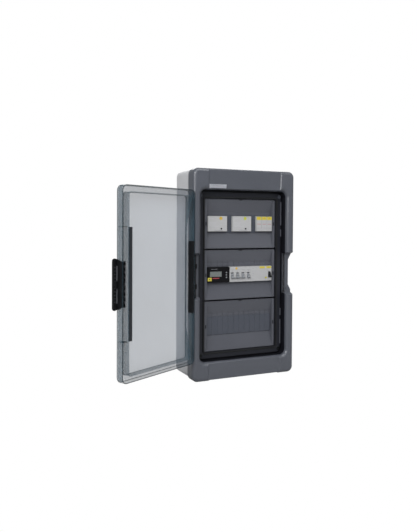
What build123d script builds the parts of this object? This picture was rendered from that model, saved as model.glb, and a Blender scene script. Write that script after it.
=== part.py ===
from build123d import *
from math import cos, radians, sin
import os

# Wall-mounted combiner box with three DIN rows and a see-through hinged door.
# Millimetres. X runs to the right, Y into the wall, Z up.
# The origin is the centre of the four wall-fixing holes, on the back face.
# The door is modelled open by DOOR_OPEN degrees, which is the rest position of its joint.

os.makedirs("parts", exist_ok=True)

# ---- driving dimensions -------------------------------------------------------------
MODULE = 18.0              # DIN 43880 module width
MODULES = 12               # modules in a row
ROW_PITCH = 150.0          # distance between DIN rails
STACK_Z = -3.5             # middle of the three rows, a little under mid-height

BOX_W = 335.0              # front frame, width
BOX_H = 610.0              # front frame, height
JOINT_Y = -99.5            # plane where base and front frame meet
FRONT_Y = -138.5           # front of the side rails
FRAME_CORNER = 18.0        # outer corner radius seen from the front

BASE_W = 329.0
BASE_H = 604.0
BASE_CORNER = 16.0
BASE_WALL = 3.5

FIXING_X = 255.0           # wall-fixing pattern
FIXING_Z = 530.0
FIXING_HOLE_R = 2.75

RECESS_W = 285.0           # opening of the recess that takes the door
RECESS_H = 495.0
RECESS_CORNER = 17.0
FLANGE_Y = -108.0          # floor of the recess
GROOVE_Y = -102.0          # drain groove around that floor
APERTURE_W = 237.0         # hole in the floor that takes the row covers
APERTURE_H = 447.0

LID_SCREW_X = 132.0        # quarter-turn lid screws, from the stack's centre
LID_SCREW_Z = 233.0
LID_SCREW_R = 4.5

NOTCH_HALF = 38.0          # half length of the side notches at their deepest
NOTCH_MOUTH = 54.0         # half length at the rail's side
NOTCH_X = 158.5            # depth of the notch in plan
NOTCH_Y = -118.0           # floor of the notch

HINGE_X = -155.8           # door hinge axis
HINGE_Y = -124.7
DOOR_OPEN = 152.0
DOOR_U0 = 14.3             # hinge axis to the near edge of the door
DOOR_W = 283.0
DOOR_H = 490.0
DOOR_CORNER = 15.5
SKIRT_V = -9.4             # edge of the door's outer skirt, from the hinge axis
PANE_V = 11.3              # front of the pane, from the hinge axis
SKIRT_WALL = 2.6
PANE_WALL = 2.8

RAIL_LIP_Y = -45.0         # front of the DIN rails
SHOULDER_Y = -89.0         # shoulders of the modular devices
NOSE_Y = -105.0            # front of the modular devices
NOSE_HALF = 22.3
BODY_HALF = 45.0
COVER_LIP_Y = -105.0       # front of the row covers
COVER_BAND_Y = -94.5       # bottom of the valley in a row cover
COVER_W = 235.2
COVER_H = 145.0
VALLEY_W = 220.0

ROWS = {"upper": STACK_Z + ROW_PITCH, "middle": STACK_Z, "lower": STACK_Z - ROW_PITCH}
ROW_LEFT = -MODULES * MODULE / 2


def facing(y, x=0.0, z=0.0):
    """Plane that looks out of the front: sketch x is X, sketch y is Z, extrusion goes to -Y."""
    return Plane(origin=(x, y, z), x_dir=(1, 0, 0), z_dir=(0, -1, 0))


def section(x):
    """Plane across the box: sketch x is Y, sketch y is Z, extrusion goes to +X."""
    return Plane(origin=(x, 0, 0), x_dir=(0, 1, 0), z_dir=(1, 0, 0))


def level(z):
    """Horizontal plane: sketch x is X, sketch y is Y, extrusion goes up."""
    return Plane.XY.offset(z)


def door_plane(v):
    """Plane of the open door: sketch x runs from the hinge axis along the door, sketch y is Z."""
    along = (cos(radians(DOOR_OPEN)), -sin(radians(DOOR_OPEN)), 0)
    outward = (-sin(radians(DOOR_OPEN)), -cos(radians(DOOR_OPEN)), 0)
    origin = (HINGE_X + v * outward[0], HINGE_Y + v * outward[1], STACK_Z)
    return Plane(origin=origin, x_dir=along, z_dir=outward)


def door_level(z):
    """Horizontal plane at the hinge axis: sketch x runs along the door, sketch y is its outside."""
    along = (cos(radians(DOOR_OPEN)), -sin(radians(DOOR_OPEN)), 0)
    return Plane(origin=(HINGE_X, HINGE_Y, STACK_Z + z), x_dir=along, z_dir=(0, 0, -1))


def ring(width, height, corner, wall):
    """Rounded rectangular ring."""
    RectangleRounded(width, height, corner)
    inner = max(corner - wall, 0.5)
    RectangleRounded(width - 2 * wall, height - 2 * wall, inner, mode=Mode.SUBTRACT)


def block(plane, x0, x1, y0, y1, depth, mode=Mode.ADD):
    """Block with one corner at sketch (x0, y0) and the other at (x1, y1)."""
    with BuildSketch(plane) as outline:
        with Locations(((x0 + x1) / 2, (y0 + y1) / 2)):
            Rectangle(abs(x1 - x0), abs(y1 - y0))
    extrude(outline.sketch, amount=depth, mode=mode)


def discs(plane, points, radius, depth, mode=Mode.ADD):
    """Round bars or holes at the given points."""
    with BuildSketch(plane) as outline:
        with Locations(*points):
            Circle(radius)
    extrude(outline.sketch, amount=depth, mode=mode)


def prism(plane, points, depth, mode=Mode.ADD):
    """Straight-sided prism on a closed polygon."""
    with BuildSketch(plane) as outline:
        with BuildLine():
            Polyline(*points, close=True)
        make_face()
    extrude(outline.sketch, amount=depth, mode=mode)


def save(piece, name):
    """Labels a finished piece and writes its STEP file."""
    piece.part.label = name
    export_step(piece.part, f"parts/{name}.step")


FIXINGS = [(x * FIXING_X / 2, z * FIXING_Z / 2) for x in (-1, 1) for z in (-1, 1)]
LID_SCREWS = {
    "top_left": (-LID_SCREW_X, STACK_Z + LID_SCREW_Z),
    "top_right": (LID_SCREW_X, STACK_Z + LID_SCREW_Z),
    "bottom_left": (-LID_SCREW_X, STACK_Z - LID_SCREW_Z),
    "bottom_right": (LID_SCREW_X, STACK_Z - LID_SCREW_Z),
}

# ---- base ---------------------------------------------------------------------------
GASKET_LEDGE = 5.0         # width of the ledge that carries the seal of the front frame
GASKET_H = 3.0
POST_R = 7.5
PAD_TOP = -20.0            # front of the pads that carry the device frame
UPRIGHT_X = 118.0
PAD_Z = (-200.0, 0.0, 200.0)
KNOCKOUTS = ((75.0, 14.5), (-75.0, 14.5), (198.0, 9.5), (-198.0, 9.5))
ENTRY_X = (-110.0, -55.0, 0.0, 55.0, 110.0)
ENTRY_Y = -48.0
ENTRY_HOLE_R = 12.5
PADS = [(x * UPRIGHT_X, z) for x in (-1, 1) for z in PAD_Z]

with BuildPart() as base_housing:
    with BuildSketch(facing(0)):
        RectangleRounded(BASE_W, BASE_H, BASE_CORNER)
    extrude(amount=-JOINT_Y)
    fillet(base_housing.faces().sort_by(Axis.Y)[-1].edges(), 5)
    inner_corner = BASE_CORNER - BASE_WALL
    with BuildSketch(facing(-BASE_WALL)):
        RectangleRounded(BASE_W - 2 * BASE_WALL, BASE_H - 2 * BASE_WALL, inner_corner)
    extrude(amount=-JOINT_Y, mode=Mode.SUBTRACT)
    with BuildSketch(facing(JOINT_Y + GASKET_H + 5)):
        ring(BASE_W - 2 * BASE_WALL, BASE_H - 2 * BASE_WALL, inner_corner, GASKET_LEDGE)
    extrude(amount=5)
    # Posts for the lid screws, pads for the device frame and bosses for the wall screws.
    discs(facing(-BASE_WALL), LID_SCREWS.values(), POST_R, -JOINT_Y - BASE_WALL)
    discs(facing(JOINT_Y + 30), LID_SCREWS.values(), LID_SCREW_R + 0.4, 30, Mode.SUBTRACT)
    discs(facing(-BASE_WALL), PADS, 7, -PAD_TOP - BASE_WALL)
    discs(facing(PAD_TOP + 12), PADS, 2.1, 12, Mode.SUBTRACT)
    discs(facing(-BASE_WALL), FIXINGS, 10, 10)
    discs(facing(-BASE_WALL - 4), FIXINGS, 6.5, 6, Mode.SUBTRACT)
    discs(facing(0), FIXINGS, FIXING_HOLE_R, 12, Mode.SUBTRACT)
    # Scored knock-outs in both side walls and in the top.
    for side in (-1, 1):
        for knock_z, knock_r in KNOCKOUTS:
            outer = Plane(origin=(side * BASE_W / 2, -31, knock_z), z_dir=(-side, 0, 0))
            with BuildSketch(outer):
                Circle(knock_r)
                Circle(knock_r - 1.2, mode=Mode.SUBTRACT)
            extrude(amount=0.9, mode=Mode.SUBTRACT)
    for knock_x in ENTRY_X:
        with BuildSketch(Plane(origin=(knock_x, ENTRY_Y, BASE_H / 2), z_dir=(0, 0, -1))):
            Circle(14)
            Circle(12.8, mode=Mode.SUBTRACT)
        extrude(amount=0.9, mode=Mode.SUBTRACT)
    # Cable entries in the bottom, closed by membranes.
    entry_points = [(x, ENTRY_Y) for x in ENTRY_X]
    discs(level(-BASE_H / 2 - 1), entry_points, ENTRY_HOLE_R, BASE_WALL + 2, Mode.SUBTRACT)
save(base_housing, "base_housing")

with BuildPart() as entry_membranes:
    flange_top = -BASE_H / 2
    discs(level(flange_top - 1.6), entry_points, ENTRY_HOLE_R + 3, 1.6)
    discs(level(flange_top), entry_points, ENTRY_HOLE_R, BASE_WALL)
    discs(level(flange_top + BASE_WALL), entry_points, ENTRY_HOLE_R + 1.5, 1.5)
    discs(level(flange_top + 1.2), entry_points, ENTRY_HOLE_R - 2.5, 6, Mode.SUBTRACT)
save(entry_membranes, "entry_membranes")

with BuildPart() as fixing_caps:
    discs(facing(-BASE_WALL - 10), FIXINGS, 8.5, 2.5)
    discs(facing(-BASE_WALL - 10), FIXINGS, 6.4, -4)
    fillet(fixing_caps.faces().filter_by(Axis.Y).group_by(Axis.Y)[0].edges(), 1)
save(fixing_caps, "fixing_caps")

# ---- front frame --------------------------------------------------------------------
FRAME_WALL = 3.2
TRAY_WALL = 3.0
BAND_X = 121.0             # half width of the sunk bands above and below the recess
BAND_SINK_OUT = 1.5        # how far a band is sunk at the frame's edge
BAND_SINK_IN = 4.5         # and at the recess
FOOT_LIFT = 3.5            # the bottom edge is raised between the two corner feet
SEAL_X = 122.0             # centre line of the door seal, from the middle
SEAL_Z = 227.0
SEAL_CHANNEL = 5.0
JOINT_RIB = 8.5            # width of the frame's foot that meets the base
PIN_R = 2.5                # hinge pin and its running fit in the door's arms
PIN_BORE_R = 2.56
PIN_HALF = 78.0


def notch_outline(side, grow):
    """Side notch of the frame in plan, with its walls moved outwards by grow."""
    floor_x = side * (NOTCH_X - grow)
    mouth_x = side * (BOX_W / 2 + 5)
    mouth = NOTCH_MOUTH + 9 + grow
    foot = NOTCH_HALF + grow
    return [(floor_x, -foot), (floor_x, foot), (mouth_x, mouth), (mouth_x, -mouth)]


def band_cutter(side):
    """Wedge that sinks the band above (side 1) or below (side -1) the recess."""
    reach = 4.0
    for_edge = BOX_H / 2 + reach
    for_recess = RECESS_H / 2 - 20
    stations = ((side * for_edge, BAND_SINK_OUT), (STACK_Z + side * for_recess, BAND_SINK_IN))
    for z, sink in stations:
        front = FRONT_Y - 1
        floor = FRONT_Y + sink
        half = BAND_X - sink
        with BuildSketch(level(z)) as slice_outline:
            with BuildLine():
                Polyline(
                    (-half, floor),
                    (half, floor),
                    (half + sink + 1, front),
                    (-half - sink - 1, front),
                    close=True,
                )
            make_face()
        yield slice_outline.sketch.faces()[0]


with BuildPart() as lid_frame:
    with BuildSketch(facing(JOINT_Y)):
        RectangleRounded(BOX_W, BOX_H, FRAME_CORNER)
    extrude(amount=JOINT_Y - FRONT_Y)
    fillet(lid_frame.faces().sort_by(Axis.Y)[0].edges(), 11)
    with BuildSketch(facing(FLANGE_Y, z=STACK_Z)):
        RectangleRounded(RECESS_W, RECESS_H, RECESS_CORNER)
    extrude(amount=FLANGE_Y - FRONT_Y + 1, mode=Mode.SUBTRACT)
    recess_edges = lid_frame.faces().sort_by(Axis.Y)[0].inner_wires()[0].edges()
    fillet(recess_edges, 12.8)
    for side in (-1, 1):
        loft(list(band_cutter(side)), ruled=True, mode=Mode.SUBTRACT)
        prism(facing(JOINT_Y + 1), notch_outline(side, 0), JOINT_Y - FRONT_Y + 2, Mode.SUBTRACT)
    # Drain groove, channel of the door seal and the aperture for the row covers.
    with BuildSketch(facing(GROOVE_Y, z=STACK_Z)):
        ring(RECESS_W, RECESS_H, RECESS_CORNER, 5.5)
    extrude(amount=GROOVE_Y - FLANGE_Y, mode=Mode.SUBTRACT)
    with BuildSketch(facing(GROOVE_Y, z=STACK_Z)):
        seal_outer = SEAL_CHANNEL / 2
        ring(2 * (SEAL_X + seal_outer), 2 * (SEAL_Z + seal_outer), 9, SEAL_CHANNEL)
    extrude(amount=GROOVE_Y - FLANGE_Y, mode=Mode.SUBTRACT)
    with BuildSketch(facing(JOINT_Y + 1, z=STACK_Z)):
        RectangleRounded(APERTURE_W, APERTURE_H, 5)
    extrude(amount=JOINT_Y + 1 - FRONT_Y, mode=Mode.SUBTRACT)
    # Hollow behind the rails and bands.
    with BuildSketch(facing(JOINT_Y - 3)):
        wall_w = BOX_W - 2 * FRAME_WALL
        wall_h = BOX_H - 2 * FRAME_WALL - 2 * FOOT_LIFT
        RectangleRounded(wall_w, wall_h, FRAME_CORNER - FRAME_WALL)
        with Locations((0, STACK_Z)):
            tray_w = RECESS_W + 2 * TRAY_WALL
            tray_h = RECESS_H + 2 * TRAY_WALL
            RectangleRounded(tray_w, tray_h, RECESS_CORNER + TRAY_WALL, mode=Mode.SUBTRACT)
        for side in (-1, 1):
            with BuildLine():
                Polyline(*notch_outline(side, FRAME_WALL), close=True)
            make_face(mode=Mode.SUBTRACT)
    extrude(amount=12, mode=Mode.SUBTRACT)
    with BuildSketch(facing(JOINT_Y)):
        rib_w = BOX_W - 2 * FRAME_WALL - 2 * JOINT_RIB
        rib_h = BOX_H - 2 * FRAME_WALL - 2 * JOINT_RIB
        RectangleRounded(rib_w, rib_h, 6)
        with Locations((0, STACK_Z)):
            RectangleRounded(tray_w, tray_h, RECESS_CORNER + TRAY_WALL, mode=Mode.SUBTRACT)
    extrude(amount=3, mode=Mode.SUBTRACT)
    # Side notches: both rails are lowered there, for the handle on the right and the hinge on the left.
    for side in (-1, 1):
        x_in = side * (RECESS_W / 2 - 1)
        x_out = side * (BOX_W / 2 + 1)
        with BuildSketch(section(min(x_in, x_out))) as notch_side:
            with BuildLine():
                Polyline(
                    (NOTCH_Y, STACK_Z - 59),
                    (NOTCH_Y, STACK_Z + 59),
                    (FRONT_Y - 1, STACK_Z + 67),
                    (FRONT_Y - 1, STACK_Z - 67),
                    close=True,
                )
            make_face()
        extrude(notch_side.sketch, amount=abs(x_out - x_in), mode=Mode.SUBTRACT)
    # Pocket for the handle's plate, and the bores that hold the hinge pin.
    plate_pocket = facing(FLANGE_Y - 0.5, z=STACK_Z)
    block(plate_pocket, RECESS_W / 2 - 1, RECESS_W / 2 + 4.6, -61, 61, 14, Mode.SUBTRACT)
    pin_bores = level(STACK_Z - PIN_HALF - 0.3)
    discs(pin_bores, [(HINGE_X, HINGE_Y)], PIN_BORE_R, 2 * PIN_HALF + 0.6, Mode.SUBTRACT)
    # Raised bottom edge between the feet.
    foot_z = -BOX_H / 2
    foot_points = [
        (-BAND_X + 3, foot_z - 1),
        (-BAND_X + 3 + FOOT_LIFT + 1, foot_z + FOOT_LIFT),
        (BAND_X - 4 - FOOT_LIFT, foot_z + FOOT_LIFT),
        (BAND_X - 3, foot_z - 1),
    ]
    prism(facing(JOINT_Y), foot_points, JOINT_Y - FRONT_Y, Mode.SUBTRACT)
    # Holes of the lid screws, and the sealing eyelet beside the right notch.
    discs(facing(JOINT_Y + 1), LID_SCREWS.values(), LID_SCREW_R + 0.4, 14, Mode.SUBTRACT)
    discs(facing(-104.5), LID_SCREWS.values(), LID_SCREW_R + 1.6, 8, Mode.SUBTRACT)
    discs(facing(NOTCH_Y + 4), [(151.5, STACK_Z - 47)], 2.2, 20, Mode.SUBTRACT)
save(lid_frame, "lid_frame")

with BuildPart() as lid_gasket:
    with BuildSketch(facing(JOINT_Y + GASKET_H)):
        ring(BASE_W - 2 * BASE_WALL, BASE_H - 2 * BASE_WALL, inner_corner, GASKET_LEDGE - 1)
    extrude(amount=GASKET_H)
save(lid_gasket, "lid_gasket")

with BuildPart() as door_seal:
    with BuildSketch(facing(GROOVE_Y, z=STACK_Z)):
        seal_outer = SEAL_CHANNEL / 2
        ring(2 * (SEAL_X + seal_outer), 2 * (SEAL_Z + seal_outer), 9, SEAL_CHANNEL)
    extrude(amount=GROOVE_Y - FLANGE_Y + 0.8)
    with BuildSketch(facing(FLANGE_Y - 0.8, z=STACK_Z)):
        ring(2 * SEAL_X + 2.4, 2 * SEAL_Z + 2.4, 7.7, 2.4)
    extrude(amount=2.7)
save(door_seal, "door_seal")

# Quarter-turn lid screws: each is its own body, because each turns.
for corner, (screw_x, screw_z) in LID_SCREWS.items():
    with BuildPart() as lid_screw:
        discs(facing(JOINT_Y + 29, screw_x, screw_z), [(0, 0)], LID_SCREW_R, 35)
        discs(facing(-104.8, screw_x, screw_z), [(0, 0)], LID_SCREW_R + 1.2, 2.7)
        block(facing(-107.5, screw_x, screw_z), -4, 4, -0.7, 0.7, -1.6, Mode.SUBTRACT)
    save(lid_screw, f"lid_screw_{corner}")

# ---- device frame -------------------------------------------------------------------
UPRIGHT_W = 18.0
UPRIGHT_LENGTH = 446.0
RAIL_LENGTH = 256.0
RAIL_T = 1.0
RAIL_BACK_Y = -37.5

with BuildPart() as carrier_uprights:
    for side in (-1, 1):
        x0 = side * UPRIGHT_X - UPRIGHT_W / 2
        x1 = side * UPRIGHT_X + UPRIGHT_W / 2
        z0 = STACK_Z - UPRIGHT_LENGTH / 2
        z1 = STACK_Z + UPRIGHT_LENGTH / 2
        block(facing(RAIL_BACK_Y + 1.5), x0, x1, z0, z1, 1.5)
        block(facing(PAD_TOP), x0, x0 + 1.5, z0, z1, PAD_TOP - RAIL_BACK_Y)
        block(facing(PAD_TOP), x1 - 1.5, x1, z0, z1, PAD_TOP - RAIL_BACK_Y)
        block(facing(PAD_TOP), x0, x1, PAD_Z[0] - 12, PAD_Z[0] + 12, 1.5)
        block(facing(PAD_TOP), x0, x1, PAD_Z[1] - 12, PAD_Z[1] + 12, 1.5)
        block(facing(PAD_TOP), x0, x1, PAD_Z[2] - 12, PAD_Z[2] + 12, 1.5)
    rail_holes = [(side * UPRIGHT_X, z) for side in (-1, 1) for z in ROWS.values()]
    discs(facing(RAIL_BACK_Y + 2), rail_holes, 2.5, 3, Mode.SUBTRACT)
    discs(facing(PAD_TOP + 1), PADS, 2.3, 3, Mode.SUBTRACT)
save(carrier_uprights, "carrier_uprights")

with BuildPart() as frame_screws:
    discs(facing(PAD_TOP - 1.5), PADS, 4, 2.5)
    discs(facing(PAD_TOP - 1.5), PADS, 2, -10)
save(frame_screws, "frame_screws")

with BuildPart() as rail_screws:
    discs(facing(RAIL_BACK_Y - RAIL_T), rail_holes, 4.5, 2.4)
    discs(facing(RAIL_BACK_Y - RAIL_T), rail_holes, 2.4, -8)
    for hole_x, hole_z in rail_holes:
        slot = facing(RAIL_BACK_Y - RAIL_T - 2.4, hole_x, hole_z)
        block(slot, -3, 3, -0.6, 0.6, -1.2, Mode.SUBTRACT)
save(rail_screws, "rail_screws")

for row, row_z in ROWS.items():
    with BuildPart() as din_rail:
        with BuildSketch(section(-RAIL_LENGTH / 2)) as hat:
            with Locations((0, row_z)):
                for half in (-1, 1):
                    with Locations(((RAIL_LIP_Y + 0.5), half * 15.25)):
                        Rectangle(RAIL_T, 4.5)
                    with Locations(((RAIL_LIP_Y + RAIL_BACK_Y) / 2, half * 13.0)):
                        Rectangle(RAIL_BACK_Y - RAIL_LIP_Y, RAIL_T)
                with Locations((RAIL_BACK_Y - 0.5, 0)):
                    Rectangle(RAIL_T, 27)
        extrude(hat.sketch, amount=RAIL_LENGTH)
        with BuildSketch(facing(RAIL_BACK_Y + 1)) as slots:
            with Locations(*[(x, row_z) for x in (-118, -84, -50, -17, 17, 50, 84, 118)]):
                SlotOverall(16, 5.2)
        extrude(slots.sketch, amount=3, mode=Mode.SUBTRACT)
    save(din_rail, f"din_rail_{row}")

# ---- row covers ---------------------------------------------------------------------
COVER_T = 2.0
WINDOW_W = 217.0
WINDOW_HALF = 23.0
SLOPE_TOP_END = 34.0       # the upper slope ends this far above the rail, then a flat band
VALLEY_HALF = COVER_H / 2 - 1.7
TICK_ROWS = ("middle", "lower")
TAB_W = 11.0

for row, row_z in ROWS.items():
    with BuildPart() as row_cover:
        with BuildSketch(facing(COVER_LIP_Y + 9, z=row_z)):
            RectangleRounded(COVER_W, COVER_H, 3)
        extrude(amount=9)
        block(facing(COVER_LIP_Y + 9, z=row_z), -115.6, 115.6, -70.5, 70.5, 7, Mode.SUBTRACT)
        valley_x = VALLEY_W / 2
        valley = facing(COVER_LIP_Y + 9, z=row_z)
        block(valley, -valley_x, valley_x, -VALLEY_HALF, VALLEY_HALF, 12, Mode.SUBTRACT)
        band = COVER_BAND_Y
        lip = COVER_LIP_Y + 0.5
        upper = [
            (lip, row_z + VALLEY_HALF + 0.3),
            (band, row_z + SLOPE_TOP_END),
            (band, row_z + WINDOW_HALF),
            (band + COVER_T, row_z + WINDOW_HALF),
            (band + COVER_T, row_z + SLOPE_TOP_END + 0.5),
            (lip + COVER_T, row_z + VALLEY_HALF + 0.3),
        ]
        lower = [
            (band, row_z - WINDOW_HALF),
            (lip, row_z - VALLEY_HALF - 0.3),
            (lip + COVER_T, row_z - VALLEY_HALF - 0.3),
            (band + COVER_T, row_z - WINDOW_HALF),
        ]
        prism(section(-valley_x - 1), upper, VALLEY_W + 2)
        prism(section(-valley_x - 1), lower, VALLEY_W + 2)
        window_side = (VALLEY_W - WINDOW_W) / 2
        for side in (-1, 1):
            x0 = side * valley_x
            x1 = side * WINDOW_W / 2
            block(facing(band + COVER_T, z=row_z), x0, x1, -WINDOW_HALF, WINDOW_HALF, COVER_T)
            wall = facing(band + COVER_T, z=row_z)
            block(wall, x0, x0 + side * COVER_T, -70.6, 70.6, band + COVER_T - lip)
        tab = facing(COVER_LIP_Y + 4, z=row_z + COVER_H / 2)
        block(tab, -TAB_W / 2, TAB_W / 2, -3.2, 1, 6, Mode.SUBTRACT)
        if row in TICK_ROWS:
            for place in range(1, MODULES):
                tick_x = ROW_LEFT + place * MODULE
                groove = facing(band + 1.6, tick_x, row_z)
                block(groove, -0.3, 0.3, SLOPE_TOP_END - 9, SLOPE_TOP_END + 6, 3.5, Mode.SUBTRACT)
    save(row_cover, f"row_cover_{row}")

with BuildPart() as cover_release_tabs:
    for row_z in ROWS.values():
        tab = facing(COVER_LIP_Y + 4, z=row_z + COVER_H / 2)
        block(tab, -TAB_W / 2 + 0.1, TAB_W / 2 - 0.1, -3.1, -0.4, 3)
save(cover_release_tabs, "cover_release_tabs")

with BuildPart() as cover_side_clips:
    for row_z in ROWS.values():
        for side in (-1, 1):
            block(facing(COVER_LIP_Y, side * 113.5, row_z), -1.6, 1.6, -5, 5, 0.9)
save(cover_side_clips, "cover_side_clips")

STRIP_HALF = 26.5
STRIP_Y = -95.4


def blank_strips(row_z, places):
    """Blanking strips, one per free module place, each with two snap legs."""
    for place in places:
        strip_x = ROW_LEFT + (place + 0.5) * MODULE
        block(facing(STRIP_Y, strip_x, row_z), -8.8, 8.8, -STRIP_HALF, STRIP_HALF, 1.8)
        block(facing(STRIP_Y + 7, strip_x, row_z), -6, 6, 20.5, 22.3, 7)
        block(facing(STRIP_Y + 7, strip_x, row_z), -6, 6, -22.3, -20.5, 7)


with BuildPart() as blanks_upper:
    blank_strips(ROWS["upper"], (3.5, 8))
save(blanks_upper, "blanks_upper")

with BuildPart() as blanks_lower:
    blank_strips(ROWS["lower"], range(MODULES))
save(blanks_lower, "blanks_lower")

# ---- modular devices ----------------------------------------------------------------
GAP = 0.2                  # half the gap between neighbouring devices
TOGGLE_Y = -100.0          # axis of the toggles
TOGGLE_Z = -3.0            # axis height against the rail
TOGGLE_HUB_R = 6.6
TOGGLE_REACH = 13.0
TOGGLE_DOWN = 38.0         # the levers point down by this much when off
PLUG_BACK_Y = -75.0


def device_body(row_z, x0, x1, nose=True):
    """Body of a modular device with its shoulders, nose and the hook over the rail's upper lip."""
    back = RAIL_LIP_Y
    front = NOSE_Y if nose else PLUG_BACK_Y + 0.4
    outline = [
        (back, row_z - BODY_HALF),
        (SHOULDER_Y, row_z - BODY_HALF),
        (SHOULDER_Y, row_z - NOSE_HALF - 0.3),
        (front, row_z - NOSE_HALF - (0.3 if not nose else 0)),
        (front, row_z + NOSE_HALF + (0.3 if not nose else 0)),
        (SHOULDER_Y, row_z + NOSE_HALF + 0.3),
        (SHOULDER_Y, row_z + BODY_HALF),
        (back, row_z + BODY_HALF),
    ]
    width = x1 - x0 - 2 * GAP
    prism(section(x0 + GAP), outline, width)
    hook = [
        (back, row_z + 17.9),
        (back, row_z + 21),
        (back + 3.6, row_z + 21),
        (back + 3.6, row_z + 15),
        (back + 1.4, row_z + 15),
        (back + 1.4, row_z + 17.9),
    ]
    prism(section(x0 + GAP), hook, width)
    # Pocket behind for the foot clip, and the terminal wells in both shoulders.
    centre = (x0 + x1) / 2
    block(facing(back, centre, row_z), -6.2, 6.2, -BODY_HALF - 1, -17.5, 3.2, Mode.SUBTRACT)
    wells = round((x1 - x0) / MODULE - 0.1)
    pitch = (x1 - x0) / wells
    for well in range(wells):
        well_x = x0 + (well + 0.5) * pitch
        points = [(well_x, row_z + 34), (well_x, row_z - 34)]
        discs(facing(SHOULDER_Y + 8), points, 3.4, 9, Mode.SUBTRACT)
        terminal_wells.extend(points)
    foot_places.append((centre, row_z))


def toggle_pocket(x, row_z, width):
    """Slot in a device's nose that clears the hub of a toggle."""
    z = row_z + TOGGLE_Z
    block(facing(TOGGLE_Y + 8, x, z), -width / 2, width / 2, -8.6, 8.6, 20, Mode.SUBTRACT)


def toggle_lever(x, row_z, width):
    """Round hub with a lever that points down, towards off."""
    z = row_z + TOGGLE_Z
    hub_plane = section(x - width / 2)
    discs(hub_plane, [(TOGGLE_Y, z)], TOGGLE_HUB_R, width)
    angle = radians(TOGGLE_DOWN)
    out = (-cos(angle), -sin(angle))
    across = (sin(angle), -cos(angle))
    corners = ((0, 2.6), (TOGGLE_REACH, 1.7), (TOGGLE_REACH, -1.7), (0, -2.6))
    points = []
    for reach, half in corners:
        lever_y = TOGGLE_Y + reach * out[0] + half * across[0]
        points.append((lever_y, z + reach * out[1] + half * across[1]))
    prism(hub_plane, points, width)


terminal_wells = []
foot_places = []
X_RELAY = (ROW_LEFT, ROW_LEFT + 4.5 * MODULE)
RELAY_W = 3.5 * MODULE
DIAL_OFFSET = (-3.0 + RELAY_W * 0.25, -14.6)
DIAL_R = 2.4

for side, relay_x in zip(("left", "right"), X_RELAY):
    dial_x = relay_x + RELAY_W / 2 + DIAL_OFFSET[0]
    dial_z = ROWS["upper"] + DIAL_OFFSET[1]
    with BuildPart() as relay_body:
        device_body(ROWS["upper"], relay_x, relay_x + RELAY_W)
        discs(facing(NOSE_Y + 3), [(dial_x, dial_z)], DIAL_R + 0.3, 4, Mode.SUBTRACT)
    save(relay_body, f"relay_{side}_body")
    with BuildPart() as relay_dial:
        discs(facing(NOSE_Y + 2.6), [(dial_x, dial_z)], DIAL_R, 2.9)
        slot = facing(NOSE_Y - 0.3, dial_x, dial_z)
        block(slot, -1.8, 1.8, -0.35, 0.35, -0.9, Mode.SUBTRACT)
    save(relay_dial, f"relay_{side}_dial")

SURGE_X = ROW_LEFT + 9 * MODULE
BLADE_Z = (-13.0, 13.0)
with BuildPart() as surge_base:
    device_body(ROWS["upper"], SURGE_X, SURGE_X + 3 * MODULE, nose=False)
    for place in range(3):
        plug_x = SURGE_X + (place + 0.5) * MODULE
        for blade_z in BLADE_Z:
            slot = facing(PLUG_BACK_Y + 8, plug_x, ROWS["upper"] + blade_z)
            block(slot, -1.5, 1.5, -4.5, 4.5, 9, Mode.SUBTRACT)
save(surge_base, "surge_base")

for place in range(3):
    plug_x = SURGE_X + (place + 0.5) * MODULE
    with BuildPart() as surge_plug:
        plug = facing(PLUG_BACK_Y, plug_x, ROWS["upper"])
        block(plug, -8.7, 8.7, -NOSE_HALF, NOSE_HALF, PLUG_BACK_Y - NOSE_Y)
        grips = surge_plug.faces().sort_by(Axis.Y)[0].edges().filter_by(Axis.X)
        fillet(grips, 1.2)
        for blade_z in BLADE_Z:
            blade = facing(PLUG_BACK_Y, plug_x, ROWS["upper"] + blade_z)
            block(blade, -1.1, 1.1, -4, 4, -7)
        window = facing(NOSE_Y + 0.8, plug_x, ROWS["upper"])
        block(window, -3.4, 3.4, -15.2, -12.4, 1, Mode.SUBTRACT)
    save(surge_plug, f"surge_plug_{place + 1}")

METER_X = ROW_LEFT
METER_W = 4 * MODULE
LCD = (METER_X + 8.0, METER_X + 46.0, -5.5, 10.0)
KEY_X = METER_X + 61.5
KEY_Z = (6.0, -1.0, -8.0)
KEY_R = 2.2
with BuildPart() as meter_body:
    device_body(ROWS["middle"], METER_X, METER_X + METER_W)
    screen = facing(NOSE_Y + 1.6, z=ROWS["middle"])
    block(screen, LCD[0], LCD[1], LCD[2], LCD[3], 2, Mode.SUBTRACT)
    keys = [(KEY_X, ROWS["middle"] + z) for z in KEY_Z]
    discs(facing(NOSE_Y + 5), keys, KEY_R + 0.25, 6, Mode.SUBTRACT)
save(meter_body, "meter_body")

with BuildPart() as meter_display:
    block(screen, LCD[0] + 0.1, LCD[1] - 0.1, LCD[2] + 0.1, LCD[3] - 0.1, 1.2)
save(meter_display, "meter_display")

for number, key_z in enumerate(KEY_Z, start=1):
    with BuildPart() as meter_key:
        discs(facing(NOSE_Y + 3.2, KEY_X, ROWS["middle"] + key_z), [(0, 0)], KEY_R, 4.2)
        fillet(meter_key.faces().sort_by(Axis.Y)[0].edges(), 0.5)
    save(meter_key, f"meter_key_{number}")

BREAKER_X = METER_X + METER_W
POLES_3 = [BREAKER_X + (pole + 0.5) * MODULE for pole in range(3)]
POLE_1 = BREAKER_X + 3.5 * MODULE
LEVER_W = 8.6
with BuildPart() as breaker_3p_body:
    device_body(ROWS["middle"], BREAKER_X, BREAKER_X + 3 * MODULE)
    for pole_x in POLES_3:
        toggle_pocket(pole_x, ROWS["middle"], LEVER_W + 0.8)
save(breaker_3p_body, "breaker_3p_body")

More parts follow.
